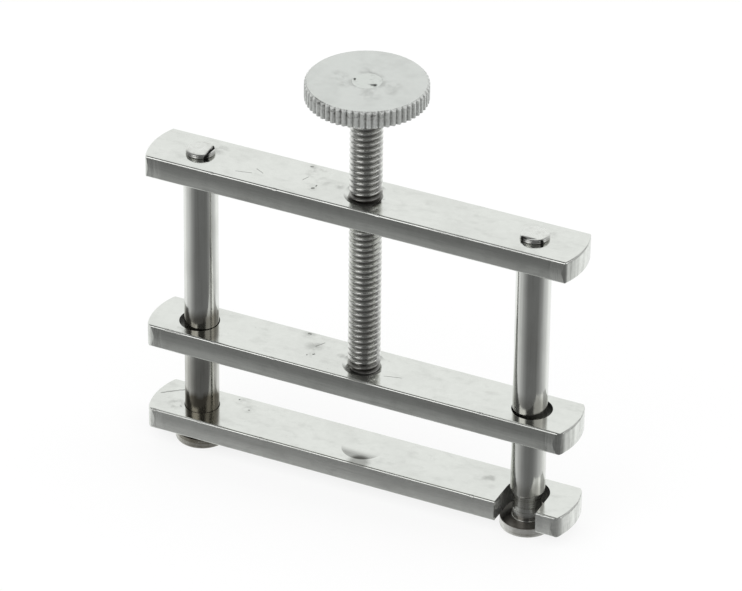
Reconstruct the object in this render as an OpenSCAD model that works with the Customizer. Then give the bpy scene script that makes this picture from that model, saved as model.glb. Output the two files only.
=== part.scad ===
// Open-sided screw clamp for closing soft tubing.
// Two posts are riveted into a top bar. A thumb screw runs through the top bar and
// pushes a jaw bar down the posts. The bottom bar swings on one post and hooks
// round the neck of the other, so the tube can be slipped in from the side.
// Frame: floor under the post feet at z = 0, X along the bars, Z up the screw.

/* [Bars] */
// Length of the three flat bars over their rounded ends
bar_len = 59.4; // [56:0.1:72]
// Width of the three bars
bar_w = 8; // [7.2:0.1:12]
// Thickness of the top bar, which holds the screw and both posts
top_t = 3.05; // [2.5:0.05:6]
// Thickness of the jaw bar
jaw_t = 3.2; // [2.5:0.05:6]
// Thickness of the swing bar
swing_t = 2.95; // [2:0.05:6]
// Radius of the arc across each bar end
end_r = 9.5; // [7:0.1:20]
// Radius of the four upright corners of the top bar
top_corner_r = 0.7; // [0.46:0.02:1.5]
// Radius of the upright corners of the jaw bar and the swing bar
corner_r = 1.5; // [0.46:0.02:2]
// Radius of the rounding along every other bar edge
edge_r = 0.28; // [0.1:0.01:0.44]
// Bulge of the rolled long sides of the bars at mid-thickness
side_crown = 0.12; // [0.02:0.01:0.3]

/* [Posts] */
// Distance from the middle of each post to the end of the bars
end_margin = 6.7; // [5.6:0.1:9]
// Diameter of both posts
post_d = 4.45; // [4:0.05:5]
// Length of both posts between the foot and the top bar
post_len = 38.09; // [36:0.01:70]
// Diameter of the turned foot of each post
foot_d = 6.95; // [6.6:0.05:9]
// Thickness of each foot
foot_t = 1.4; // [0.8:0.05:3]
// Radius of the rounding under each foot
foot_edge_r = 0.25; // [0.1:0.05:0.7]
// Diameter of the neck that the swing bar hooks round
neck_d = 3.74; // [3:0.02:3.9]
// Height that the neck shows above the swing bar
neck_rise = 0.3; // [0.1:0.05:1.5]
// Height of the cone between the neck and the full post
shoulder_h = 0.35; // [0.1:0.05:1]
// Diameter of the tenon that passes through the top bar
tenon_d = 3.3; // [2.8:0.05:3.8]
// Diameter of the hammered end of each tenon
stake_d = 3.8; // [3.4:0.02:4.4]
// Height that each hammered end stands above the top bar
stake_rise = 0.62; // [0.4:0.02:1.5]
// Width of the bevel round each hammered end
stake_bevel = 0.22; // [0.1:0.02:0.5]
// Distance of the chisel groove from the middle of each hammered end
chisel_off = 1.35; // [0.2:0.05:1.5]
// Depth half-way along the chisel groove of the pivot post
pivot_chisel_deep = 0.28; // [0.05:0.01:0.4]
// Slope in degrees along the chisel groove of the pivot post
pivot_chisel_slope = 3; // [0:0.5:8]
// Depth half-way along the chisel groove of the latch post
latch_chisel_deep = 0.13; // [0.05:0.01:0.4]
// Slope in degrees along the chisel groove of the latch post
latch_chisel_slope = 9; // [0:0.5:12]

/* [Screw] */
// Outside diameter of the screw thread
screw_d = 4.2; // [3.6:0.05:5]
// Rise of the screw thread in one turn
pitch = 0.8; // [0.5:0.05:1]
// Diameter of the journal that turns in the jaw bar
journal_d = 3; // [2.4:0.05:3.4]
// Diameter of the hammered lower end that holds the jaw bar
peen_d = 4.4; // [3.8:0.05:5.4]
// Depth that the hammered lower end sits inside the jaw bar
peen_deep = 0.1; // [0.05:0.05:0.5]
// Radial width of the bevel round the screw hole
bevel_wide = 0.7; // [0.2:0.05:1]
// Depth of that bevel where it meets the thread
bevel_deep = 0.25; // [0.1:0.05:0.4]

/* [Thumb head] */
// Diameter of the knurled head
head_d = 15.54; // [10:0.02:24]
// Thickness of the knurled head
head_t = 2.28; // [1.5:0.02:6]
// Number of straight knurl grooves round the rim
knurl_count = 60; // [24:1:72]
// Depth of each knurl groove
knurl_deep = 0.3; // [0.1:0.02:0.5]
// Bevel round the upper rim of the head
head_bevel = 0.26; // [0.1:0.02:0.7]
// Diameter of the screw's spigot inside the head
spigot_d = 3.2; // [2.4:0.05:3.4]
// Diameter of the spigot's hammered top in the head
rivet_d = 3.8; // [3.5:0.05:4.2]

/* [Position and fits] */
// Opening between the swing bar and the jaw bar as drawn
jaw_open = 9.5; // [1:0.1:24]
// Space left under the head when the jaw bar is screwed right down
head_gap = 4.5; // [1:0.1:12]
// Gap between each foot and the swing bar
swing_play = 0.4; // [0.1:0.05:1.5]
// Radial play of the pivot post in the swing bar
pivot_play = 0.08; // [0.04:0.01:0.3]
// Radial play of the neck in the swing bar's slot
slot_play = 1; // [0.3:0.05:1.2]
// Gap between each post and the side of its jaw hole nearest the screw
jaw_gap_in = 0.1; // [0.05:0.01:0.5]
// Gap between each post and the outer side of its jaw hole
jaw_gap_out = 0.7; // [0.3:0.02:0.9]
// Radial play of the screw in the top bar
thread_play = 0.05; // [0.02:0.01:0.15]
// Play all round the screw's journal in the jaw bar
swivel_play = 0.06; // [0.03:0.01:0.15]
// Gap left round a riveted end
rivet_fit = 0.02; // [0.01:0.01:0.05]

/* [Hidden] */
$fn = 96;
// Steps in one turn of the thread
turn_steps = 20;
// Overrun of every cut
eps = 0.5;
// A rounding's circle is this much too large, so that it crosses its faces and doesn't graze them
cross = 0.0003;
nickel = [0.80, 0.81, 0.78];
nickel_dark = [0.66, 0.67, 0.65];

// Heights, from the floor up
swing_z = foot_t + swing_play;
swing_top = swing_z + swing_t;
jaw_z = swing_top + jaw_open;
jaw_top = jaw_z + jaw_t;
top_z = foot_t + post_len;
top_face = top_z + top_t;
head_z = top_face + jaw_open + head_gap;
head_top = head_z + head_t;

// Post places along the bars
latch_x = bar_len / 2 - end_margin;
pivot_x = -latch_x;

// The arc across each bar end is struck from here
end_x = bar_len / 2 - end_r;

// Screw hole bevel, and the cone seat that carries it on down to the journal
screw_hole_r = screw_d / 2 + thread_play;
bevel_r = screw_hole_r + bevel_wide;
bevel_slope = bevel_deep / bevel_wide;
journal_hole_r = journal_d / 2 + swivel_play;

// Thread with flanks at 60 degrees to each other, and flats of a usual width
crest_flat = pitch / 8;
root_flat = pitch / 4;
flank_rise = (pitch - crest_flat - root_flat) / 2;
thread_deep = flank_rise / tan(30);

// Hammered ends spread at 45 degrees from the shank that they hold
peen_h = (peen_d - journal_d) / 2;
rivet_h = (rivet_d - spigot_d) / 2;

// What rounding a corner to radius r takes away, drawn about the centre of the rounding.
// The rounding runs from straight up round to the angle turn.
module corner_waste(r, turn) {
  reach = 2 * r;
  difference() {
    polygon([[0, 0], [0, reach], [reach, reach], [reach, reach * tan(turn)]]);
    circle(r + cross);
  }
}

// Repeats a shape at the upper and the lower edge of a section of thickness t
module both_edges(t) {
  children();
  translate([0, t])
    mirror([0, 1])
      children();
}

// Half of a bar's cross-section: a flat strip with a crowned side and rounded edges
module half_section(t) {
  crown_r = (pow(t / 2, 2) / side_crown + side_crown) / 2;
  crown_x = bar_w / 2 - crown_r;
  rise = t / 2 - edge_r;
  reach = crown_r - edge_r;
  difference() {
    intersection() {
      square([bar_w / 2 + eps, t]);
      translate([crown_x, t / 2])
        circle(crown_r);
    }
    both_edges(t)
      translate([crown_x + sqrt(reach * reach - rise * rise), t - edge_r])
        corner_waste(edge_r, asin(rise / reach));
  }
}

// What is cut away round the end arc of a bar, seen in half-section
module end_waste(t) {
  difference() {
    translate([end_r - edge_r, -eps])
      square([bar_w, t + 2 * eps]);
    difference() {
      square([end_r, t]);
      both_edges(t)
        translate([end_r - edge_r, t - edge_r])
          corner_waste(edge_r, 0);
    }
  }
}

// A bar before drilling, lying on z = 0. Each long side is straight up to side_x, and the
// corner to radius r turns from there to meet the end arc.
module bar_blank(t, r) {
  corner_y = bar_w / 2 - r;
  side_x = end_x + sqrt(pow(end_r - r, 2) - pow(corner_y, 2));
  difference() {
    translate([-bar_len / 2 - eps, 0, 0])
      rotate([90, 0, 90])
        linear_extrude(bar_len + 2 * eps) {
          half_section(t);
          mirror([1, 0])
            half_section(t);
        }
    for (side = [0, 1])
      mirror([side, 0, 0]) {
        translate([end_x, 0, 0])
          rotate([0, 0, -90])
            rotate_extrude(angle = 180)
              end_waste(t);
        for (edge = [0, 1])
          mirror([0, edge, 0])
            translate([side_x, corner_y, -eps])
              linear_extrude(t + 2 * eps)
                corner_waste(r, atan2(corner_y, side_x - end_x));
      }
  }
}

// A round hole through a bar of thickness t
module hole(r, t) {
  translate([0, 0, -eps])
    cylinder(r = r, h = t + 2 * eps);
}

// The bevel sunk into the top of a bar, down to radius r
module bevel(r, t) {
  deep = (bevel_r - r) * bevel_slope;
  translate([0, 0, t - deep])
    cylinder(r1 = r, r2 = bevel_r, h = deep);
  translate([0, 0, t])
    cylinder(r = bevel_r, h = eps);
}

module top_bar() {
  color(nickel)
    translate([0, 0, top_z])
      difference() {
        bar_blank(top_t, top_corner_r);
        for (x = [pivot_x, latch_x])
          translate([x, 0, 0])
            hole(tenon_d / 2 + rivet_fit, top_t);
        hole(screw_hole_r, top_t);
        bevel(screw_hole_r, top_t);
      }
}

module jaw_bar() {
  lip = peen_d / 2 + peen_deep + swivel_play;
  hole_r = post_d / 2 + (jaw_gap_out + jaw_gap_in) / 2;
  hole_x = latch_x + (jaw_gap_out - jaw_gap_in) / 2;
  color(nickel)
    translate([0, 0, jaw_z])
      difference() {
        bar_blank(jaw_t, corner_r);
        for (x = [-hole_x, hole_x])
          translate([x, 0, 0])
            hole(hole_r, jaw_t);
        hole(journal_hole_r, jaw_t);
        bevel(journal_hole_r, jaw_t);
        // countersink below, for the hammered end of the screw
        cylinder(r1 = lip, r2 = journal_hole_r, h = lip - journal_hole_r);
        translate([0, 0, -eps])
          cylinder(r = lip, h = eps);
      }
}

module swing_bar() {
  slot_r = neck_d / 2 + slot_play;
  color(nickel)
    translate([0, 0, swing_z])
      difference() {
        bar_blank(swing_t, corner_r);
        translate([pivot_x, 0, 0])
          hole(post_d / 2 + pivot_play, swing_t);
        // open-fronted hook slot
        translate([latch_x, 0, 0])
          hole(slot_r, swing_t);
        translate([latch_x - slot_r, -bar_w / 2 - eps, -eps])
          cube([2 * slot_r, bar_w / 2 + eps, swing_t + 2 * eps]);
      }
}

// A post turned in one piece. The waist is a list of [radius, height] points between the
// foot and the full post. The tenon at the top is hammered over the bar and marked by one
// chisel groove. The groove lies off the middle in the direction of mark, and it has the
// given depth half-way along and the given slope.
module post(waist, mark, deep, slope) {
  foot_r = foot_d / 2;
  stake_r = stake_d / 2;
  stake_top = top_face + stake_rise;
  outline = concat(
    [[0, 0], [foot_r, 0], [foot_r, foot_t]],
    waist,
    [
      [post_d / 2, top_z],
      [tenon_d / 2, top_z],
      [tenon_d / 2, top_face],
      [stake_r, top_face],
      [stake_r, stake_top - stake_bevel],
      [stake_r - stake_bevel, stake_top],
      [0, stake_top]
    ]
  );
  difference() {
    rotate_extrude()
      difference() {
        polygon(outline);
        translate([foot_r - foot_edge_r, foot_edge_r])
          mirror([0, 1])
            corner_waste(foot_edge_r, 0);
      }
    rotate([0, 0, mark])
      translate([chisel_off, 0, stake_top - deep])
        rotate([slope, 0, 0])
          rotate([0, -45, 0])
            translate([0, -stake_d, 0])
              cube([stake_d, 2 * stake_d, stake_d]);
  }
}

module pivot_post() {
  color(nickel_dark)
    translate([pivot_x, 0, 0])
      post([[post_d / 2, foot_t]], 0, pivot_chisel_deep, -pivot_chisel_slope);
}

module latch_post() {
  neck_r = neck_d / 2;
  neck_top = swing_top + neck_rise;
  color(nickel_dark)
    translate([latch_x, 0, 0])
      post(
        [[neck_r, foot_t], [neck_r, neck_top], [post_d / 2, neck_top + shoulder_h]],
        -81,
        latch_chisel_deep,
        latch_chisel_slope
      );
}

// A threaded rod, right-handed and longer than the stretch from low to high. Four lines wind
// up it, along both edges of the crest and of the root, and faces fill the strips between
// them. A point on the axis closes each end.
module threaded_rod(low, high) {
  crest_r = screw_d / 2;
  root_r = crest_r - thread_deep;
  lines = [
    [crest_r, 0],
    [crest_r, crest_flat],
    [root_r, crest_flat + flank_rise],
    [root_r, crest_flat + flank_rise + root_flat]
  ];
  turns = ceil((high - low) / pitch) + 2;
  steps = turns * turn_steps;
  foot = 4 * steps + 4;
  tip = foot + 1;
  winding = [
    for (i = [0 : steps], line = lines)
      let (turn = i / turn_steps)
        [line[0] * cos(360 * turn), line[0] * sin(360 * turn), low + (turn - 1) * pitch + line[1]]
  ];
  ends = [[0, 0, low - 2 * pitch], [0, 0, low + (turns + 1) * pitch]];
  // the fourth line's neighbour is the first line, one turn further on
  strips = [
    for (k = [0 : 3])
      let (ahead = k < 3 ? 1 : 4 * turn_steps - 3)
        for (a = [k : 4 : 4 * steps - ahead - 1])
          [a, a + ahead, a + ahead + 4, a + 4]
  ];
  foot_edge = concat([for (i = [turn_steps : -1 : 0]) 4 * i], [1, 2, 3]);
  tip_edge = concat([for (i = [steps - turn_steps : steps]) 4 * i + 3], [foot - 2, foot - 3, foot - 4]);
  polyhedron(
    points = concat(winding, ends),
    faces = concat(strips, fan(foot, foot_edge), fan(tip, tip_edge)),
    convexity = 10
  );
}

// Faces that join one point to a closed chain of others
function fan(centre, chain) = [
  for (i = [0 : len(chain) - 1])
    [centre, chain[(i + 1) % len(chain)], chain[i]]
];

// Screw turned in one piece, with a cut thread: seat cone and journal below, both ends
// hammered over
module screw_spindle() {
  thread_r = screw_d / 2;
  seat_r = thread_r - thread_deep / 2;
  journal_r = journal_d / 2;
  spigot_r = spigot_d / 2;
  thread_z = jaw_top - (bevel_r - thread_r) * bevel_slope + swivel_play;
  peen_z = jaw_z + peen_deep;
  color(nickel_dark) {
    rotate_extrude()
      polygon([
        [0, peen_z],
        [peen_d / 2, peen_z],
        [journal_r, peen_z + peen_h],
        [journal_r, thread_z - (thread_r - journal_r) * bevel_slope],
        [seat_r, thread_z - (thread_r - seat_r) * bevel_slope],
        [seat_r, thread_z],
        [0, thread_z]
      ]);
    intersection() {
      threaded_rod(thread_z, head_z);
      translate([0, 0, thread_z])
        cylinder(r = screw_d, h = head_z - thread_z);
    }
    rotate_extrude()
      polygon([
        [0, head_z],
        [spigot_r, head_z],
        [spigot_r, head_top - rivet_h],
        [spigot_r + rivet_h, head_top],
        [0, head_top]
      ]);
  }
}

// Rim outline with straight knurl grooves cut at right angles
module knurl_outline() {
  r = head_d / 2;
  difference() {
    circle(r, $fn = 240);
    for (i = [0 : knurl_count - 1])
      rotate([0, 0, i * 360 / knurl_count])
        translate([r - knurl_deep, 0])
          polygon([[0, 0], [2 * knurl_deep, 2 * knurl_deep], [2 * knurl_deep, -2 * knurl_deep]]);
  }
}

module thumb_head() {
  r = head_d / 2;
  hole_r = spigot_d / 2 + rivet_fit;
  color(nickel)
    translate([0, 0, head_z])
      difference() {
        intersection() {
          linear_extrude(head_t)
            knurl_outline();
          union() {
            cylinder(r = r + eps, h = head_t - head_bevel - eps);
            translate([0, 0, head_t - head_bevel - eps])
              cylinder(r1 = r + eps, r2 = r - head_bevel, h = head_bevel + eps);
          }
        }
        hole(hole_r, head_t);
        translate([0, 0, head_t - rivet_h])
          cylinder(r1 = hole_r, r2 = hole_r + rivet_h, h = rivet_h);
        translate([0, 0, head_t])
          cylinder(r = hole_r + rivet_h, h = eps);
      }
}

top_bar();
pivot_post();
latch_post();
swing_bar();
jaw_bar();
screw_spindle();
thumb_head();
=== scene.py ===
import math

import bmesh
import bpy
from mathutils import Matrix, Vector


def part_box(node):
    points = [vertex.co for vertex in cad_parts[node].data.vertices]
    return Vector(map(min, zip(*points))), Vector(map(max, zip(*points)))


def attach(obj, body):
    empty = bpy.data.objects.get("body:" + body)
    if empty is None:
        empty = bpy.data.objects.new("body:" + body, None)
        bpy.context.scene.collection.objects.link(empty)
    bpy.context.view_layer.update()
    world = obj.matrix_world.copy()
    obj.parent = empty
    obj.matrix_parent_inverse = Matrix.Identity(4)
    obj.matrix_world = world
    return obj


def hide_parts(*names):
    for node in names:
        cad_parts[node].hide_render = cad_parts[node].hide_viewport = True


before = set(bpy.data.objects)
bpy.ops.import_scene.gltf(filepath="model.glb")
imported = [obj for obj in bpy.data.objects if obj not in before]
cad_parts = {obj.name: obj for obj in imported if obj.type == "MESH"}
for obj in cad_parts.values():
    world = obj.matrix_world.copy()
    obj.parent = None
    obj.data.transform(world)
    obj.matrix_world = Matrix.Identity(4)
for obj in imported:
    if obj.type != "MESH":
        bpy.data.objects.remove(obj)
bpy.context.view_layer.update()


# ---------------------------------------------------------------- top bar
# A flat strip of steel, rolled, cut to length with arched ends and nickel plated.
# Both posts are riveted into it and the screw runs through its tapped middle.

mm = 0.001


class Wiring:
    """The nodes of one tree, each made and joined up in one call."""

    def __init__(self, tree):
        self.tree = tree

    def node(self, kind, *sources, **settings):
        made = self.tree.nodes.new(kind)
        for key, value in settings.items():
            setattr(made, key, value)
        for socket, source in zip(made.inputs, sources):
            self.feed(socket, source)
        return made

    def feed(self, socket, source):
        if isinstance(source, bpy.types.NodeSocket):
            self.tree.links.new(source, socket)
        elif source is not None:
            socket.default_value = source

    def math(self, operation, a, b=0.0, c=0.0):
        return self.node("ShaderNodeMath", a, b, c, operation=operation).outputs[0]

    def times(self, share, *others):
        """Several shares multiplied together."""
        for other in others:
            share = self.math("MULTIPLY", share, other)
        return share

    def gather(self, operation, shares):
        """Shares joined one by one by ADD or MAXIMUM, starting from none."""
        total = 0.0
        for share in shares:
            total = self.math(operation, total, share)
        return total

    def step(self, value, start, end):
        """Smooth step from 0 at start to 1 at end, where start may be the larger."""
        made = self.node("ShaderNodeMapRange", value, interpolation_type="SMOOTHSTEP")
        low, high = sorted((start, end))
        made.inputs["From Min"].default_value = low
        made.inputs["From Max"].default_value = high
        made.inputs["To Min"].default_value = float(start > end)
        made.inputs["To Max"].default_value = float(start <= end)
        return made.outputs["Result"]

    def tint(self, amount, plain, other):
        """Mix of two colours, each a socket or red, green and blue."""
        made = self.node("ShaderNodeMix", data_type="RGBA")
        self.feed(made.inputs["Factor"], amount)
        for key, colour in (("A", plain), ("B", other)):
            self.feed(made.inputs[key], (*colour, 1) if isinstance(colour, tuple) else colour)
        return made.outputs["Result"]


class Finish(Wiring):
    """A metal finish, worked out from places in millimetres."""

    def __init__(self, name):
        self.material = bpy.data.materials.new(name)
        self.material.use_nodes = True
        super().__init__(self.material.node_tree)
        self.shader = self.tree.nodes["Principled BSDF"]
        self.shader.inputs["Metallic"].default_value = 1.0
        local = self.node("ShaderNodeTexCoord").outputs["Object"]
        self.place = self.vector("MULTIPLY", local, (1 / mm, 1 / mm, 1 / mm))
        self.x, self.y, self.z = self.node("ShaderNodeSeparateXYZ", self.place).outputs

    def vector(self, operation, source, other):
        return self.node("ShaderNodeVectorMath", source, other, operation=operation).outputs[0]

    def dot(self, source, other):
        made = self.node("ShaderNodeVectorMath", source, other, operation="DOT_PRODUCT")
        return made.outputs["Value"]

    def noise(self, per_mm, stretch=(1, 1, 1), detail=3.0, rough=0.55, shift=0.0):
        """Cloudy noise from 0 to 1, with per_mm waves in a millimetre."""
        spot = self.vector("MULTIPLY", self.place, tuple(per_mm * s for s in stretch))
        spot = self.vector("ADD", spot, (shift, shift * 0.7, shift * 1.3))
        made = self.node("ShaderNodeTexNoise", spot)
        made.inputs["Scale"].default_value = 1.0
        made.inputs["Detail"].default_value = detail
        made.inputs["Roughness"].default_value = rough
        return made.outputs["Fac"]

    def sum(self, *terms):
        """Adds up pairs of an amount and its weight."""
        total = 0.0
        for amount, weight in terms:
            total = self.math("MULTIPLY_ADD", amount, weight, total)
        return total

    def pits(self, per_mm, size, share, shift=0.0):
        """Round pits of about that size in mm; share is how many of the places hold one."""
        spot = self.vector("MULTIPLY", self.place, (per_mm, per_mm, per_mm))
        spot = self.vector("ADD", spot, (shift, shift, shift))
        cells = self.node("ShaderNodeTexVoronoi", spot, feature="F1")
        cells.inputs["Scale"].default_value = 1.0
        hole = self.step(cells.outputs["Distance"], size * per_mm, size * per_mm * 0.35)
        kept = self.node("ShaderNodeSeparateColor", cells.outputs["Color"]).outputs[0]
        return self.times(hole, self.step(kept, share, share * 0.9))

    def scratches(self, stretch, thin, shift=0.0):
        """Fine lines that run along the axis with the smallest stretch."""
        lines = self.noise(1.0, stretch, 2.0, 0.5, shift)
        return self.step(self.math("ABSOLUTE", self.math("SUBTRACT", lines, 0.5)), thin, 0.0)

    def disc(self, x, y, start, end):
        """Share that falls from 1 at start to 0 at end, in mm from an upright axis at x, y."""
        dx = self.math("SUBTRACT", self.x, x)
        dy = self.math("SUBTRACT", self.y, y)
        away = self.math("SQRT", self.sum((self.times(dx, dx), 1.0), (self.times(dy, dy), 1.0)))
        return self.step(away, end, start)

    def stroke(self, x, y, length, width, turn):
        """A straight mark of that length and width in mm, turned by degrees from the bar."""
        along = Vector((math.cos(math.radians(turn)), math.sin(math.radians(turn)), 0))
        spot = self.vector("SUBTRACT", self.place, (x, y, 0))
        run = self.dot(spot, along)
        side = self.dot(spot, Vector((-along.y, along.x, 0)))
        wave = self.math("MULTIPLY_ADD", self.noise(1.5, shift=x), width * 2, -width)
        side = self.math("ABSOLUTE", self.math("ADD", side, wave))
        run = self.math("ABSOLUTE", run)
        return self.times(self.step(side, width, width * 0.3),
                          self.step(run, length / 2, length / 2 - width))

    def polish(self, colour, rough, height, dull=None):
        """Sets colour, roughness, relief in mm and how far the plating has gone dull."""
        self.feed(self.shader.inputs["Base Color"], colour)
        if dull is not None:
            self.feed(self.shader.inputs["Metallic"], self.math("SUBTRACT", 1.0, dull))
        self.feed(self.shader.inputs["Roughness"], rough)
        relief = self.node("ShaderNodeBump")
        relief.inputs["Strength"].default_value = 1.0
        relief.inputs["Distance"].default_value = mm
        self.feed(relief.inputs["Height"], height)
        self.feed(self.shader.inputs["Normal"], relief.outputs["Normal"])
        return self.material


bright_nickel = (0.79, 0.80, 0.77)
# The dark end of the nickel tint, for dull plating and for the painted shade and reflection
dull_and_shaded_nickel = (0.13, 0.13, 0.12)
# Widths in mm of the bands along the edges, from the clean face to the full wear
side_band = (0.45, 0.15)
flat_band = (0.3, 0.06)
# How far in mm a rubbed length of an edge fades out
rub_fade = 1.5
# Length in mm of the arched ends, which are rougher than the sides
cut_end = 3.2
# Radius in mm of the bevel round the screw
bevel_r = 2.7


def bar_finish(name, node, stains=(), nicks=(), scratches=(), chips=(), rubs=(), bores=(),
               matt=0.0):
    """Bright nickel on a flat bar: smudges, pits, painted shade in the bores, a painted reflection
    of the screw, streaked sides and worn edges.

    All is in mm. Stains are x, y, radius. Nicks and scratches are x, y, length, width, turn.
    Chips are x, rubs are the two ends of a worn length of the front edge, and bores are
    x, radius.
    """
    low, high = (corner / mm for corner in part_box(node))
    metal = Finish(name)
    side = metal.step(metal.math("ABSOLUTE", metal.y), *(high.y - width for width in side_band))
    top = metal.step(metal.z, *(high.z - width for width in flat_band))
    foot = metal.step(metal.z, *(low.z + width for width in flat_band))
    edge = metal.times(side, metal.math("MAXIMUM", top, foot))
    patch = metal.step(metal.noise(0.5, (0.6, 1, 1), 4.0, 0.6, 4.1), 0.45, 0.7)
    worn = metal.times(edge, patch)
    for start, end in rubs:
        rub = metal.times(metal.step(metal.x, start, start + rub_fade),
                          metal.step(metal.x, end, end - rub_fade),
                          metal.step(metal.y, -2.0, -3.0))
        worn = metal.math("MAXIMUM", worn, metal.times(edge, rub))
    chip = metal.gather("MAXIMUM", (metal.disc(x, low.y + 0.1, 0.15, 0.4) for x in chips))
    chip = metal.times(edge, chip)
    normal = metal.node("ShaderNodeNewGeometry").outputs["Normal"]
    upward = metal.node("ShaderNodeSeparateXYZ", normal).outputs[2]
    flat = metal.step(metal.math("ABSOLUTE", upward), 0.5, 0.9)
    upright = metal.math("SUBTRACT", 1.0, flat)

    smudge = metal.step(metal.noise(0.16, shift=2.7), 0.42, 0.7)
    cloud = metal.step(metal.noise(0.55, (0.7, 1.2, 1.2), 4.0, 0.6, 8.3), 0.48, 0.78)
    mottle = metal.noise(1.1, (1, 1, 0.5), 4.0, 0.6, 1.9)
    streak = metal.times(upright, metal.noise(1.0, (0.13, 1.0, 2.0), 4.0, 0.6, 5.0))
    lines = metal.scratches((0.04, 1.1, 1.1), 0.01, 3.0)
    lines = metal.times(lines, metal.step(metal.noise(0.3, shift=6.0), 0.48, 0.66))
    pit = metal.pits(0.8, 0.09, 0.16, 5.0)
    stain = metal.gather("ADD", (metal.disc(x, y, r * 0.3, r) for x, y, r in stains))
    broken = metal.step(metal.noise(1.0, rough=0.5, shift=7.0), 0.3, 0.72)
    stain = metal.times(stain, broken, flat)
    nick = metal.times(metal.gather("MAXIMUM", (metal.stroke(*mark) for mark in nicks)), top)
    scratch = metal.gather("MAXIMUM", (metal.stroke(*mark) for mark in scratches))
    scratch = metal.times(scratch, top)
    # Painted shade: the upright walls of the bores are darkened
    bore_shade = metal.gather("MAXIMUM", (metal.disc(x, 0.0, r + 0.1, r + 0.6) for x, r in bores))
    bore_shade = metal.times(bore_shade, upright)

    across = metal.math("ABSOLUTE", metal.x)
    end = metal.times(upright, metal.step(across, high.x - cut_end, high.x - cut_end + 0.6))
    filed = metal.step(metal.noise(1.0, (1.6, 1.6, 0.12), 4.0, 0.65, 2.2), 0.42, 0.68)
    filed = metal.times(end, filed)
    # All three bars get a painted dark reflection of the screw on the bevel and the top face in
    # front of it, though the swing bar has no bevel there
    bevel = metal.times(flat, metal.disc(0.0, 0.0, bevel_r, bevel_r + 0.15))
    painted_screw_reflection = metal.times(bevel, metal.step(metal.y, -0.6, -2.0))
    painted_screw_reflection = metal.math("ADD", painted_screw_reflection, metal.times(top, metal.disc(0.9, -3.3, 0.8, 1.9)))
    tone = metal.sum((smudge, 0.06), (cloud, 0.12), (mottle, 0.12), (stain, 0.3), (pit, 0.5),
                     (nick, 0.8), (scratch, 0.5), (bore_shade, 0.45), (streak, 0.3), (painted_screw_reflection, 0.52),
                     (end, -0.14), (filed, 0.26), (worn, -0.15))
    colour = metal.tint(tone, bright_nickel, dull_and_shaded_nickel)
    rough = metal.sum((smudge, 0.03), (cloud, 0.05), (lines, 0.08), (pit, 0.2), (stain, 0.12),
                      (worn, 0.25), (chip, 0.2), (nick, 0.2), (bore_shade, 0.3), (streak, 0.08),
                      (painted_screw_reflection, 0.22), (filed, 0.08), (0.1, 1.0))
    height = metal.sum((mottle, 0.004), (streak, 0.012), (lines, -0.0015), (pit, -0.004),
                       (worn, -0.003), (chip, -0.03), (nick, -0.05), (scratch, -0.02),
                       (filed, -0.012))
    return metal.polish(colour, rough, height, metal.times(upright, matt))


def finish_node(node, material):
    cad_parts[node].data.materials.clear()
    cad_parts[node].data.materials.append(material)


finish_node("top_bar", bar_finish(
    "top_bar_nickel", "top_bar",
    stains=[(-8.9, 2.9, 1.1), (-8.1, 1.6, 1.2), (-7.2, 3.2, 1.0), (-6.1, 0.4, 1.3),
            (-6.6, -1.5, 1.0), (-3.6, 0.2, 0.9), (-21.0, 1.6, 1.5), (24.4, 1.3, 1.3)],
    nicks=[(-6.55, -1.6, 0.6, 0.17, 40), (-6.4, -0.9, 0.45, 0.12, 80), (-8.9, 3.0, 0.5, 0.1, 10)],
    scratches=[(-14.3, -0.8, 1.5, 0.09, -30), (-8.4, 0.1, 1.2, 0.07, 70),
               (-16.0, -1.9, 2.2, 0.06, 12)],
    chips=[-10.8, -19.6, 3.4],
    rubs=[(9.0, 28.0)],
))


# ---------------------------------------------------------------- posts
# Two rods of bright steel, each turned with a round foot, one with a neck for the slot of
# the swing bar. Their thinner tops pass through the top bar, are hammered over and are
# each marked with one blow of a chisel.

swing_low, swing_top = (corner.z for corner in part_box("swing_bar"))
jaw_low, jaw_top = (corner.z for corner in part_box("jaw_bar"))
top_low, top_face = (corner.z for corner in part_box("top_bar"))
foot_t = swing_low - 0.4 * mm
neck_top = swing_top + 0.3 * mm
neck_slope = 0.35 * mm
post_r = 2.225 * mm
neck_r = 1.87 * mm
tenon_r = 1.65 * mm
post_columns = 144
bright_steel = (0.77, 0.775, 0.75)
greasy_steel = (0.20, 0.185, 0.15)
tread_brown = (0.12, 0.105, 0.09)
# Near black for the painted shade on the left of the foot's top
tread_shade_black = (0.035, 0.033, 0.03)
# Near black for the painted shade in the chisel groove
groove_shade_black = (0.03, 0.03, 0.028)
# Radii of the roundings under and above the foot, at the root of the shaft and on the neck
foot_bend = 0.25 * mm
tread_bend = 0.08 * mm
root_bend = 0.12 * mm
neck_bend = 0.1 * mm
shoulder_bend = 0.2 * mm
# How far in mm the groove lies off the middle of the stake
chisel_off = 1.35
# Half-section in mm of the stake above the bar: a bulged collar, then a rounded lid
stake_form = [(1.66, 0.0), (1.8, 0.02), (1.87, 0.08), (1.9, 0.17), (1.87, 0.26), (1.83, 0.3),
              (1.85, 0.33), (1.88, 0.38), (1.87, 0.44), (1.84, 0.49), (1.78, 0.54), (1.7, 0.58),
              (1.61, 0.605)]
lid_rings = 40
lid_drop = 0.015
# Points closer than this are welded, and edges that turn more than this look sharp
weld = 0.0005 * mm
sharp_turn = math.radians(35)


def turned_wall(rings, columns, axis=0.0):
    """Points and faces of a turned form through rings, each a function of the angle."""
    points, faces = [], []
    for ring in rings:
        for column in range(columns):
            angle = column / columns * math.tau
            radius, z = ring(angle)
            points.append((axis + radius * math.cos(angle), radius * math.sin(angle), z))
    for level in range(len(rings) - 1):
        for column in range(columns):
            a = level * columns + column
            b = level * columns + (column + 1) % columns
            faces.append((a, b, b + columns, a + columns))
    return points, faces


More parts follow.
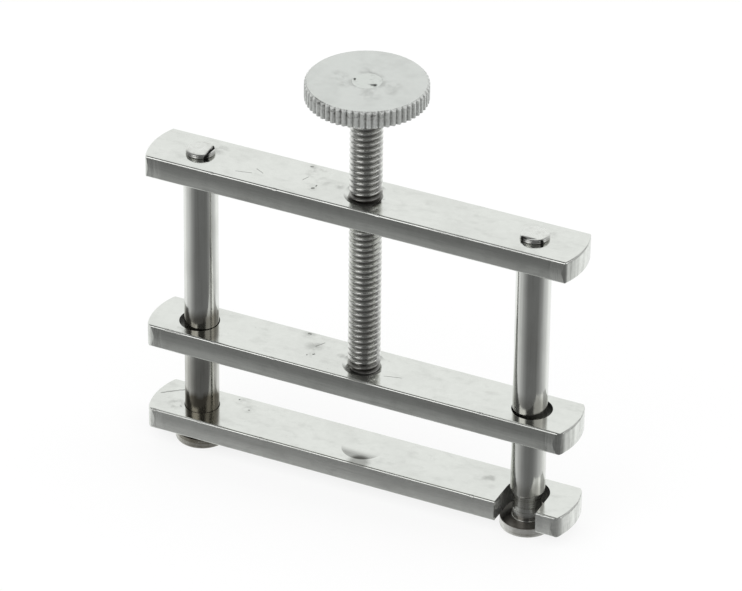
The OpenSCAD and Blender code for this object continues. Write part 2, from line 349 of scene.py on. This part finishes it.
def skin(name, walls, material):
    """One mesh piece from several walls, welded where they meet."""
    shape = bmesh.new()
    for points, faces in walls:
        verts = [shape.verts.new(point) for point in points]
        for face in faces:
            shape.faces.new([verts[i] for i in face])
    bmesh.ops.remove_doubles(shape, verts=shape.verts, dist=weld)
    bmesh.ops.recalc_face_normals(shape, faces=shape.faces)
    mesh = bpy.data.meshes.new(name)
    shape.to_mesh(mesh)
    shape.free()
    mesh.shade_smooth()
    mesh.set_sharp_from_angle(angle=sharp_turn)
    mesh.materials.append(material)
    piece = bpy.data.objects.new(name, mesh)
    bpy.context.scene.collection.objects.link(piece)
    return piece


def level_ring(radius, z):
    """A circle at the height z."""
    return lambda angle: (radius, z)


def arc_rings(radius, z, bend, start, end):
    """Rings along a rounding of radius bend about radius, z, from start to end degrees."""
    steps = 5
    turns = [math.radians(start + (end - start) * i / steps) for i in range(steps + 1)]
    return [level_ring(radius + bend * math.cos(turn), z + bend * math.sin(turn))
            for turn in turns]


def dimple(x, y, dents):
    """Depth in mm that hammer dents, given as (x, y, radius, depth), leave at x, y."""
    return sum(depth * math.exp(-((x - dx) ** 2 + (y - dy) ** 2) / radius ** 2)
               for dx, dy, radius, depth in dents)


def stake_rings(top, mark, deep, slope, dents):
    """The hammered top of a post, with its groove in the direction mark, in degrees."""
    mark, slope = math.radians(mark), math.radians(slope)

    def grooved(radius, z, fade):
        def place(angle):
            uneven = 0.006 * math.sin(3 * angle + deep * 9) + 0.004 * math.sin(7 * angle + slope)
            r = radius * (0.99 + uneven) * mm
            x, y = r * math.cos(angle) / mm, r * math.sin(angle) / mm
            across = abs(x * math.cos(mark) + y * math.sin(mark) - chisel_off)
            along = y * math.cos(mark) - x * math.sin(mark)
            groove_shade = top / mm - deep + along * math.tan(slope) + across
            level = z - fade * dimple(x, y, dents)
            return r, min(level, groove_shade) * mm
        return place

    rings = [grooved(r, top_face / mm + rise, 0.0) for r, rise in stake_form]
    for i in range(1, lid_rings + 1):
        share = 1 - i / lid_rings
        r = stake_form[-1][0] * share
        rings.append(grooved(r, top / mm - lid_drop * share ** 4, min(1.0, i / 8)))
    return rings


def post_finish(name, node, mark, worn):
    """Bright steel with lathe rings near the foot, grease, and painted shade on the left of each
    foot's top and in the chisel groove.
    """
    low, high = (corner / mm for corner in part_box(node))
    middle = (low.x + high.x) / 2
    face, tread_z = top_face / mm, foot_t / mm
    facing = math.radians(mark)
    metal = Finish(name)
    streak = metal.noise(1.0, (2.0, 2.0, 0.05), 3.0, 0.6, 3.3)
    rings = metal.noise(1.0, (0.15, 0.15, 3.5), 3.0, 0.6, 5.0)
    blotch = metal.step(metal.noise(0.3, (1, 1, 0.5), 4.0, shift=1.0), 0.42, 0.72)
    stake = metal.step(metal.z, face, face + 0.04)
    collar = metal.times(stake, metal.step(metal.z, face + 0.36, face + 0.28))
    sunk = metal.times(stake, metal.step(metal.z, high.z - 0.03, high.z - 0.09))
    # Painted shade: the chisel groove in the stake is coloured near black
    groove_shade = metal.stroke(middle + chisel_off * math.cos(facing), chisel_off * math.sin(facing),
                          4.0, 0.3, mark + 90)
    groove_shade = metal.times(sunk, groove_shade)
    foot = metal.step(metal.z, tread_z + 0.05, tread_z - 0.02)
    tread = metal.times(foot, metal.step(metal.z, tread_z - 0.1, tread_z - 0.04))
    rim = metal.math("SUBTRACT", foot, tread)
    foot_side = metal.times(rim, metal.noise(0.9, (1, 1, 0.6), 4.0, 0.65, 8.0))
    turned = metal.times(metal.step(metal.z, low.z + 6.5, low.z + 4.5), rings)
    shaft_rings = metal.times(turned, metal.math("SUBTRACT", 1.0, tread))
    level = metal.math("MULTIPLY_ADD", metal.noise(0.8, (1, 1, 0.3), shift=9.0), 2.4, metal.z)
    grease = metal.gather("MAXIMUM", (
        metal.times(metal.step(level, ledge + 4.6, ledge + 2.6),
                    metal.step(metal.z, ledge - 2.9, ledge - 0.3))
        for ledge in (jaw_top / mm, swing_top / mm)))
    low_part = metal.step(metal.z, jaw_low / mm, jaw_low / mm - 2.0)
    blow = metal.noise(1.4, rough=0.6, shift=12.0)
    pit = metal.pits(0.9, 0.09, 0.12, 2.0)
    tone = metal.sum((blotch, 0.14), (pit, 0.4), (metal.step(streak, 0.45, 0.7), 0.14),
                     (collar, 0.12), (metal.step(turned, 0.45, 0.65), 0.3),
                     (grease, 0.4 + worn * 0.4), (foot_side, 0.5), (low_part, worn * 0.35))
    colour = metal.tint(tone, bright_steel, greasy_steel)
    # Painted shade: the left part of the foot's top, under the swing bar, is coloured near black
    tread_shade = metal.times(tread, metal.step(metal.x, middle - 1.2, middle - 2.4))
    colour = metal.tint(tread, colour, tread_brown)
    colour = metal.tint(tread_shade, colour, tread_shade_black)
    colour = metal.tint(groove_shade, colour, groove_shade_black)
    rough = metal.sum((blotch, 0.05), (pit, 0.2), (streak, 0.1), (stake, 0.16), (grease, 0.06),
                      (groove_shade, 0.3), (tread, 0.25), (shaft_rings, 0.16), (0.07, 1.0))
    height = metal.sum((streak, 0.004), (turned, 0.028), (pit, -0.004),
                       (metal.times(stake, blow), 0.012))
    return metal.polish(colour, rough, height, metal.times(rim, 0.3))


def post(node, name, neck, mark, deep, slope, worn, dents):
    """One post with its foot, shaft and stake; a neck below post_r leaves a shoulder."""
    low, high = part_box(node)
    foot_r = (high.x - low.x) / 2
    middle = (high.x + low.x) / 2
    rings = [level_ring(foot_r * i / 8, low.z) for i in range(7)]
    rings += arc_rings(foot_r - foot_bend, low.z + foot_bend, foot_bend, -90, 0)
    rings += arc_rings(foot_r - tread_bend, foot_t - tread_bend, tread_bend, 0, 90)
    rings += arc_rings(neck + root_bend, foot_t + root_bend, root_bend, 270, 180)
    if neck < post_r:
        rings += arc_rings(neck - neck_bend, neck_top - neck_bend, neck_bend, 0, 45)
        rings += arc_rings(post_r - shoulder_bend, neck_top + neck_slope, shoulder_bend, -45, 0)
    rings += [level_ring(post_r, top_low), level_ring(tenon_r, top_low)]
    rings += stake_rings(high.z, mark, deep, slope, dents)
    steel = post_finish(name + "_nickel", node, mark, worn)
    piece = skin(name, [turned_wall(rings, post_columns, middle)], steel)
    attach(piece, "frame")
    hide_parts(node)


post("pivot_post", "left_post", neck=post_r, mark=0, deep=0.28, slope=-3, worn=1.0,
     dents=[(-0.5, -0.3, 0.7, 0.03), (0.4, 0.6, 0.6, 0.03), (-1.0, 0.8, 0.4, 0.02)])
post("latch_post", "right_post", neck=neck_r, mark=-81, deep=0.13, slope=9, worn=0.0,
     dents=[(0.3, 0.2, 0.7, 0.03), (-0.8, 0.5, 0.5, 0.03), (0.9, -0.4, 0.4, 0.02)])


# ---------------------------------------------------------------- swing bar
# The same plated strip, with a hole that turns on one post and an open slot that hooks
# round the neck of the other. It has seen the most use, so its front edge is chipped.

pivot_x, latch_x = ((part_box(node)[0].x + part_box(node)[1].x) / 2 / mm
                    for node in ("pivot_post", "latch_post"))

finish_node("swing_bar", bar_finish(
    "swing_bar_nickel", "swing_bar",
    stains=[(-18.6, 2.9, 1.4), (-17.0, 1.3, 1.2), (-26.0, -1.6, 1.5), (17.5, 0.8, 1.4)],
    nicks=[(-16.9, 1.3, 0.3, 0.09, 20), (-19.1, 3.0, 0.3, 0.09, 60), (-25.2, -1.7, 0.25, 0.09, 0)],
    scratches=[(-27.7, 1.0, 3.5, 0.16, 39)],
    chips=[-28.0, -21.5, -12.6, 17.0, 26.8],
    rubs=[(-30.0, -17.0), (-9.0, -4.0), (21.0, 30.0)],
    bores=[(pivot_x, 2.2), (latch_x, 2.8)],
    matt=0.12,
))


# ---------------------------------------------------------------- jaw bar
# The same plated strip again, drilled to run loose on both posts. The hole in its middle
# is bevelled above and countersunk below, and the end of the screw spins in it.

finish_node("jaw_bar", bar_finish(
    "jaw_bar_nickel", "jaw_bar",
    stains=[(-9.3, 3.2, 1.3), (-7.4, 1.0, 1.6), (-6.7, -0.9, 1.0), (-3.4, 0.4, 0.8),
            (-24.0, -3.0, 1.6)],
    nicks=[(-6.7, -0.8, 0.5, 0.15, 35), (-9.2, 3.3, 0.6, 0.12, 0), (-7.4, -1.3, 0.3, 0.08, 90)],
    scratches=[(-6.9, 1.6, 1.6, 0.07, 60), (4.6, -1.2, 2.4, 0.06, 14)],
    chips=[-26.0, -25.3, -24.4, -19.4, -11.1, 18.0],
    rubs=[(-27.0, -22.5), (-1.0, 4.0), (19.0, 29.0)],
    bores=[(pivot_x, 2.9), (latch_x, 2.9)],
))


# ---------------------------------------------------------------- screw
# A plated steel screw with a cut thread of 0.8 mm a turn. Its lower end is turned down to
# a journal that spins in the jaw bar, and both ends are hammered over.

screw_low, screw_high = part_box("screw_spindle")
head_low, head_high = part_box("thumb_head")
pitch = 0.8 * mm
crest_r = 2.1 * mm
root_r = 1.667 * mm
journal_r = 1.5 * mm
spigot_r = 1.6 * mm
rivet_r = 1.9 * mm
peen_r = screw_high.x
seat_z = jaw_top - 0.208 * mm
cone_z = seat_z - 0.25 * mm
spigot_low = head_low.z + 0.5 * mm
thread_columns = 72
bright_screw = (0.80, 0.80, 0.775)
grimy_and_shaded_screw = (0.10, 0.095, 0.085)
struck_plain = (0.66, 0.68, 0.655)
struck_scar = (0.5, 0.51, 0.49)
# Radius of the worn rounding along the crest of the thread
crest_round = 0.14 * mm
# Places of the middle of the crest and of the root, as shares of the pitch
crest_mid = 0.0625
root_mid = 0.5625
flank_tilt = math.radians(30)
# Hammer dents as x, y, radius, depth in mm: three deep nicks, then shallow ones
top_dents = [
    (-1.6, -0.28, 0.2, 0.2), (0.95, -0.7, 0.24, 0.1), (1.35, -0.55, 0.26, 0.2),
    (0.55, -0.8, 0.3, 0.05), (-1.5, -0.95, 0.24, 0.06), (-1.2, -1.25, 0.3, 0.06),
    (-0.6, -1.5, 0.3, 0.06), (0.0, -1.6, 0.3, 0.05), (-1.4, 1.03, 0.22, 0.05),
    (-1.0, 1.4, 0.22, 0.05), (0.0, 1.36, 0.25, 0.05), (1.2, 0.85, 0.25, 0.05),
    (0.2, 0.5, 0.5, 0.03), (-0.5, 0.1, 0.45, 0.03),
]
low_dents = [(0.5, 0.3, 0.5, 0.08), (-0.7, -0.4, 0.45, 0.07), (0.1, -1.0, 0.4, 0.06),
             (-0.4, 0.9, 0.5, 0.05)]


def rounded_thread():
    """One thread from crest to crest, as shares of the pitch and of the thread's depth."""
    depth = crest_r - root_r
    form = []
    for degrees in range(-60, 61, 15):
        tilt = math.radians(degrees)
        form.append(((crest_mid + crest_round * math.sin(tilt) / pitch) % 1,
                     1 - crest_round * (1 - math.cos(tilt)) / depth))
    flank = crest_mid + (depth + crest_round) * math.tan(flank_tilt) / pitch
    far_flank = 2 * root_mid - flank
    form += [(flank - 0.03, 0.1), (flank, 0.02), (root_mid, 0.0), (far_flank, 0.02),
             (far_flank + 0.03, 0.1)]
    return sorted(form)


thread_form = rounded_thread()


def thread_radius(share):
    """Radius of the thread at a share of the pitch above the start of its crest."""
    form = thread_form + [(1 + thread_form[0][0], thread_form[0][1])]
    share = (share - thread_form[0][0]) % 1 + thread_form[0][0]
    for (s0, d0), (s1, d1) in zip(form, form[1:]):
        if share <= s1:
            depth = d0 + (d1 - d0) * (share - s0) / (s1 - s0)
            return root_r + (crest_r - root_r) * depth


def thread_ring(z, spare=0.0):
    """The thread cut across at the height z; spare widens it."""
    return lambda angle: (thread_radius((z - seat_z) / pitch - angle / math.tau) + spare, z)


def thread_wall(bottom, top, spare=0.0):
    """Points and faces of the right-hand thread between two heights; spare widens it.

    It is laid out past both ends. What lies past an end is held on it, and welded by skin.
    """
    points, faces = [], []
    turns = math.ceil((top - seat_z) / pitch) + 3
    levels = [(turn - 2 + share) * pitch for turn in range(turns) for share, _ in thread_form]
    levels = [level for level in levels if seat_z + level > bottom - 2 * pitch]
    for column in range(thread_columns + 1):
        turn = column / thread_columns
        angle = turn * math.tau
        for level in levels:
            z = min(max(level + turn * pitch + seat_z, bottom), top)
            radius = thread_radius((z - seat_z) / pitch - turn) + spare
            points.append((radius * math.cos(angle), radius * math.sin(angle), z))
    rows = len(levels)
    for column in range(thread_columns):
        for row in range(rows - 1):
            a = column * rows + row
            faces.append((a, a + rows, a + rows + 1, a + 1))
    return points, faces


def doubling_wall(radius, low, high):
    """A band round the spigot whose upper edge has twice the columns of the thread."""
    points, faces = [], []
    for columns, z in ((thread_columns, low), (2 * thread_columns, high)):
        for column in range(columns):
            angle = column / columns * math.tau
            points.append((radius * math.cos(angle), radius * math.sin(angle), z))
    for a in range(thread_columns):
        b = thread_columns + 2 * a
        after = thread_columns + (2 * a + 2) % (2 * thread_columns)
        faces.append((a, (a + 1) % thread_columns, after, b + 1, b))
    return points, faces


def hammered_end(radius, z, up, dents, rings):
    """The flat end of a rivet as rings that close in on its middle, with its dents."""
    def ring(share):
        def place(angle):
            r = radius * share
            x, y = r * math.cos(angle) / mm, r * math.sin(angle) / mm
            fade = min(1.0, (1 - share) * 6)
            return r, z - up * dimple(x, y, dents) * fade * mm
        return place
    return [ring(1 - i / rings) for i in range(rings + 1)]


def screw_finish():
    """Plated thread with painted shade in its valleys, grime and painted shade just above both
    bars and a dull hammered top.
    """
    metal = Finish("screw_nickel")
    head_z = head_low.z / mm
    radius = metal.math("SQRT", metal.sum((metal.math("POWER", metal.x, 2.0), 1.0),
                                          (metal.math("POWER", metal.y, 2.0), 1.0)))
    threaded = metal.step(metal.z, head_z + 0.2, head_z)
    cut_part = metal.times(threaded, metal.step(metal.z, seat_z / mm, seat_z / mm + 0.3))
    # Painted shade: the thread is darkened in its valleys, between the crests
    valley_shade = metal.times(cut_part, metal.step(radius, crest_r / mm - 0.08, root_r / mm))
    film = metal.step(metal.noise(0.4, (1, 1, 0.6), 4.0, shift=2.0), 0.4, 0.75)
    cut = metal.noise(2.0, (1, 1, 2.5), 3.0, 0.6, 7.0)
    level = metal.math("MULTIPLY_ADD", cut, 0.8, metal.z)
    # Grime and painted shade: the screw is darkened just above the top face of each bar
    grime_and_shade = metal.gather("MAXIMUM", (
        metal.times(metal.step(level, ledge + 1.5, ledge + 0.9),
                    metal.step(metal.z, ledge - 2.8, ledge - 0.4))
        for ledge in (jaw_top / mm, top_face / mm)))
    scar = metal.step(metal.noise(1.6, detail=4.0, rough=0.6, shift=4.0), 0.55, 0.75)
    riveted = metal.step(metal.z, head_z + 1.8, head_z + 1.9)
    tone = metal.sum((valley_shade, 0.5), (film, 0.14), (scar, 0.1), (grime_and_shade, 0.6))
    colour = metal.tint(tone, bright_screw, grimy_and_shaded_screw)
    colour = metal.tint(riveted, colour, metal.tint(scar, struck_plain, struck_scar))
    rough = metal.sum((valley_shade, 0.1), (film, 0.08), (cut, 0.08), (scar, 0.06), (grime_and_shade, 0.15),
                      (0.13, 1.0))
    height = metal.sum((cut, 0.005), (scar, 0.004))
    return metal.polish(colour, rough, height)


screw_foot = hammered_end(peen_r, screw_low.z, -1, low_dents, rings=14)[::-1] + [
    level_ring(journal_r, screw_low.z + peen_r - journal_r),
    level_ring(journal_r, cone_z),
    thread_ring(seat_z),
]
screw_end = [
    level_ring(spigot_r, spigot_low),
    level_ring(spigot_r, head_high.z - rivet_r + spigot_r),
] + hammered_end(rivet_r, head_high.z, 1, top_dents, rings=40)
screw = skin("screw", [
    turned_wall(screw_foot, thread_columns),
    thread_wall(seat_z, head_low.z),
    turned_wall([thread_ring(head_low.z), level_ring(spigot_r, head_low.z)], thread_columns),
    doubling_wall(spigot_r, head_low.z, spigot_low),
    turned_wall(screw_end, 2 * thread_columns),
], screw_finish())
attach(screw, "screw")
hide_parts("screw_spindle")


# ---------------------------------------------------------------- tapped hole
# The thread cut in the top bar for the screw to run in, drawn as a thin sleeve inside
# the bar's hole. It meshes with the screw at every height of the jaw.

thread_spare = 0.05 * mm
sleeve_r = 2.19 * mm
sleeve_low = top_low + 0.12 * mm
sleeve_high = top_face - 0.24 * mm

tapped = skin("top_bar_thread", [
    thread_wall(sleeve_low, sleeve_high, thread_spare),
    turned_wall([
        thread_ring(sleeve_high, thread_spare),
        level_ring(sleeve_r, sleeve_high),
        level_ring(sleeve_r, sleeve_low),
        thread_ring(sleeve_low, thread_spare),
    ], thread_columns),
], screw.data.materials[0])
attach(tapped, "frame")


# ---------------------------------------------------------------- thumb head
# A turned and plated disc with 60 straight grooves rolled round its rim. Its top is
# polished and lightly stained, and the screw is hammered over flush in its middle.

# Radii in mm of the polished top, and of the bottom and the top of the grooves
land_r = 7.5
groove_r = 7.45
ridge_r = 7.72
# Radii in mm of the seam round the hammered screw, on its inside and its outside
seam_in = (1.7, 1.9)
seam_out = (2.1, 2.6)
bright_head = (0.67, 0.685, 0.665)
# The dark end of the head's tint, for dull marks and for the painted shade in the grooves
dull_and_shaded_head = (0.2, 0.2, 0.19)
head_stains = [(-3.6, -0.4, 1.9), (3.3, 0.3, 1.7), (3.9, -1.2, 1.1), (1.6, -2.9, 2.0),
               (-2.2, -1.9, 1.2), (0.2, -0.2, 2.6), (-1.0, 2.0, 1.5)]


def head_finish():
    """Polished and stained on top, rough in the grooves and round the hammered screw, with painted
    shade in the grooves and a painted highlight under the rim's top edge.
    """
    metal = Finish("head_nickel")
    face = head_high.z / mm
    top = metal.times(metal.step(metal.z, face - 0.12, face - 0.03),
                      metal.disc(0.0, 0.0, land_r - 0.02, land_r + 0.02))
    rim = metal.math("SUBTRACT", 1.0, top)
    stain = metal.gather("ADD", (metal.disc(x, y, r * 0.2, r) for x, y, r in head_stains))
    broken = metal.step(metal.noise(0.9, detail=4.0, shift=5.5), 0.3, 0.75)
    stain = metal.times(stain, broken, top)
    haze = metal.step(metal.noise(0.3, shift=3.0), 0.4, 0.75)
    grain = metal.noise(1.6, rough=0.6, shift=2.0)
    burr = metal.step(metal.noise(3.2, (1, 1, 0.8), 4.0, 0.65, 9.0), 0.36, 0.66)
    burr = metal.times(rim, burr)
    # Painted shade: the knurl is darkened towards the bottoms of its grooves
    groove_shade = metal.times(rim, metal.disc(0.0, 0.0, groove_r, ridge_r))
    # Painted highlight: a lighter band on the rim just under its top edge
    chamfer_highlight = metal.times(rim, metal.step(metal.z, face - 0.34, face - 0.22))
    bruise = metal.step(metal.noise(1.4, (1, 1, 2.0), 4.0, 0.7, 6.0), 0.5, 0.62)
    bruise = metal.times(rim, bruise, metal.step(metal.y, -4.5, -6.5),
                         metal.step(metal.z, face - 1.6, face - 0.7))
    seam = metal.math("SUBTRACT", metal.disc(0.0, 0.0, *seam_out), metal.disc(0.0, 0.0, *seam_in))
    seam = metal.times(seam, metal.step(metal.noise(0.5, detail=2.0, shift=11.0), 0.46, 0.62))
    tone = metal.sum((stain, 0.32), (haze, 0.12), (groove_shade, 0.6), (grain, 0.08), (burr, 0.42),
                     (rim, -0.32), (chamfer_highlight, -0.3), (bruise, 0.6), (seam, 0.25))
    colour = metal.tint(tone, bright_head, dull_and_shaded_head)
    rough = metal.sum((stain, 0.08), (haze, 0.05), (rim, 0.3), (grain, 0.04), (0.12, 1.0))
    height = metal.sum((burr, -0.03), (grain, 0.002), (stain, -0.002), (bruise, -0.04))
    return metal.polish(colour, rough, height, metal.sum((rim, 0.3), (chamfer_highlight, 0.2)))


finish_node("thumb_head", head_finish())


# ---------------------------------------------------------------- studio
# A white paper floor and three soft lamps. The room is dark on the side of the camera,
# which gives the polished metal its dark fronts and its bright tops.

camera_turn = math.radians(25.006)
camera_rise = math.radians(32.19)
camera_roll = math.radians(0.664)
camera_away = 0.73823
aim = Vector((0.864 * mm, 0.0, 27.907 * mm))
back = Vector((math.sin(camera_turn) * math.cos(camera_rise),
               -math.cos(camera_turn) * math.cos(camera_rise),
               math.sin(camera_rise)))

camera = bpy.data.objects.new("camera", bpy.data.cameras.new("camera"))
camera.data.lens = 285.15
camera.data.sensor_width = 36.0
camera.data.clip_end = 20.0
facing = back.to_track_quat("Z", "Y").to_matrix().to_4x4() @ Matrix.Rotation(camera_roll, 4, "Z")
camera.matrix_world = Matrix.Translation(aim + back * camera_away) @ facing
bpy.context.scene.collection.objects.link(camera)
bpy.context.scene.camera = camera

room = bpy.data.worlds.new("room")
bpy.context.scene.world = room
room.use_nodes = True
sky = Wiring(room.node_tree)
ray = sky.node("ShaderNodeTexCoord").outputs["Generated"]


def grey_levels(towards, stops):
    """Grey light over the room through stops of degrees off a direction and light level."""
    near = sky.node("ShaderNodeVectorMath", ray, Vector(towards).normalized(),
                    operation="DOT_PRODUCT")
    share = sky.node("ShaderNodeMapRange", near.outputs["Value"])
    share.inputs["From Min"].default_value = 1.0
    share.inputs["From Max"].default_value = -1.0
    ramp = sky.node("ShaderNodeValToRGB", share.outputs["Result"])
    while len(ramp.color_ramp.elements) < len(stops):
        ramp.color_ramp.elements.new(0.5)
    for element, (degrees, level) in zip(ramp.color_ramp.elements, stops):
        element.position = (1 - math.cos(math.radians(degrees))) / 2
        element.color = (level * 0.985, level, level * 0.99, 1)
    return ramp.outputs["Color"]


low_room = grey_levels((0.41, -0.87, 0.26), [
    (30, 0.11), (47, 0.16), (57, 0.16), (67, 0.26), (80, 0.41), (88, 0.54), (110, 0.75),
    (121, 1.0),
])
high_room = grey_levels((-0.417, 0.892, 0.17), [
    (38, 1.0), (50, 0.5), (62, 0.16), (80, 0.1), (180, 0.06),
])
rise = sky.node("ShaderNodeSeparateXYZ", ray).outputs[2]
mirrored = sky.tint(sky.step(rise, -0.1, 0.15), low_room, high_room)
in_metal = sky.node("ShaderNodeLightPath").outputs["Is Glossy Ray"]
background = sky.tree.nodes["Background"]
background.inputs["Strength"].default_value = 1.0
sky.feed(background.inputs["Color"], sky.tint(in_metal, (1, 1, 1), mirrored))


def lamp(name, direction, away, size, power):
    """A soft lamp turned to the aim, that many metres away from it in a direction."""
    data = bpy.data.lights.new(name, "AREA")
    data.shape = "RECTANGLE"
    data.size, data.size_y = size
    data.energy = power
    made = bpy.data.objects.new(name, data)
    towards = Vector(direction).normalized()
    made.location = aim + towards * away
    made.rotation_euler = towards.to_track_quat("Z", "Y").to_euler()
    bpy.context.scene.collection.objects.link(made)


lamp("lamp_left", (-0.359, -0.767, 0.53), 0.9, (0.6, 0.7), 1.8)
lamp("lamp_right", (0.84, -0.11, 0.53), 0.9, (0.9, 0.7), 1.4)
lamp("lamp_side", (0.75, 0.5, 0.45), 1.1, (0.9, 0.7), 0.9)

paper = bpy.data.materials.new("paper")
paper.use_nodes = True
sheet = Wiring(paper.node_tree)
sheet.tree.nodes.remove(sheet.tree.nodes["Principled BSDF"])
white = sheet.node("ShaderNodeBsdfDiffuse", (0.9, 0.9, 0.9, 1))
glow = sheet.node("ShaderNodeEmission", (1, 1, 1, 1), 1.0)
seen = sheet.node("ShaderNodeLightPath").outputs["Is Camera Ray"]
surface = sheet.node("ShaderNodeMixShader", sheet.times(seen, 0.8), white.outputs[0],
                     glow.outputs[0])
sheet.feed(sheet.tree.nodes["Material Output"].inputs["Surface"], surface.outputs[0])

reach = 3.0
corners = [(-reach, -reach, 0), (reach, -reach, 0), (reach, reach, 0), (-reach, reach, 0)]
floor_mesh = bpy.data.meshes.new("floor")
floor_mesh.from_pydata(corners, [], [(0, 1, 2, 3)])
floor_mesh.materials.append(paper)
floor = bpy.data.objects.new("floor", floor_mesh)
bpy.context.scene.collection.objects.link(floor)
floor.visible_glossy = False

bpy.context.scene.view_settings.view_transform = "Standard"
